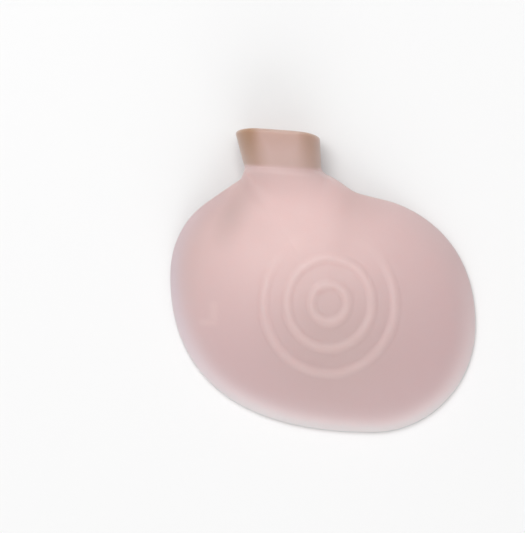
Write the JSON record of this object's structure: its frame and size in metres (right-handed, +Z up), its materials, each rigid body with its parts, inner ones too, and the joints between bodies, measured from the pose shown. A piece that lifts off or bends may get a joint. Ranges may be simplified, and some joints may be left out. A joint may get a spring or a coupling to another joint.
{
  "type": "metatarsal pad",
  "caption": "Moulded frosted gel cushion for the ball of the foot, with a toe loop, a hollow skin side and raised concentric massage ribs on the sole side.",
  "frame": {"origin": "middle of the bounding box, on the plane that the pad lies on with its ribs up", "axes": "+X across the foot towards the little toe of a left foot, +Y towards the toes, +Z up, out of the ribbed sole side"},
  "size_m": [0.07, 0.0694, 0.0149],
  "materials": {
    "gel": "frosted, milky translucent silicone gel with a faint pink cast"
  },
  "bodies": {
    "root": {"gel_pad": "gel"}
  },
  "joints": []
}
